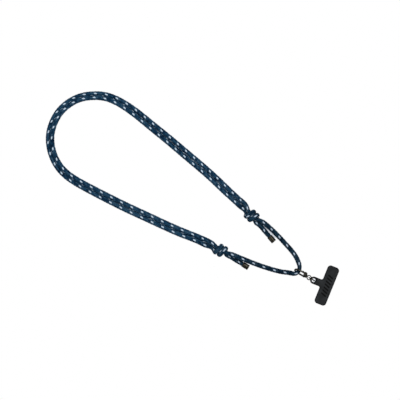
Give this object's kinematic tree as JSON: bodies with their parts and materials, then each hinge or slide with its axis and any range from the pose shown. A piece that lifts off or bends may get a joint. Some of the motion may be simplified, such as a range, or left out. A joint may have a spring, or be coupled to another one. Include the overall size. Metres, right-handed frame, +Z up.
{
  "type": "rope phone strap",
  "caption": "Neck strap of doubled rope with sliding knots, capped tails, a trigger hook on a swivel eye, a jump ring and a flat phone tab.",
  "frame": {"origin": "floor level under the middle of the strap as it lies flat", "axes": "+Z up from the floor it lies on, +Y along the strap from the phone tab to the far end of the neck loop, +X across the loop towards the upper knot"},
  "size_m": [0.1264, 0.4236, 0.0151],
  "materials": {
    "navy_rope": "braided, matte",
    "aged_brass": "dark antique, satin",
    "tab_rubber": "matte"
  },
  "bodies": {
    "root": {"rope": "navy_rope", "knot_upper": "navy_rope", "knot_lower": "navy_rope", "end_cap_upper": "aged_brass", "end_cap_lower": "aged_brass", "hook_body": "aged_brass"},
    "gate": {"gate": "aged_brass"},
    "swivel": {"swivel_eye": "aged_brass", "jump_ring": "aged_brass", "phone_tab": "tab_rubber"}
  },
  "joints": [
    {"name": "gate_hinge", "type": "hinge", "parent": "root", "child": "gate", "pos_m": [-0.01341, -0.1676, 0.01002], "axis": [-0.9136, 0, 0.4067], "range_deg": [0, 11], "stiffness_Nm_per_rad": 0.01, "springref_deg": -11.46},
    {"name": "swivel_turn", "type": "hinge", "parent": "root", "child": "swivel", "pos_m": [-0.0152, -0.17, 0.006], "axis": [0, 1, 0], "continuous": true}
  ]
}
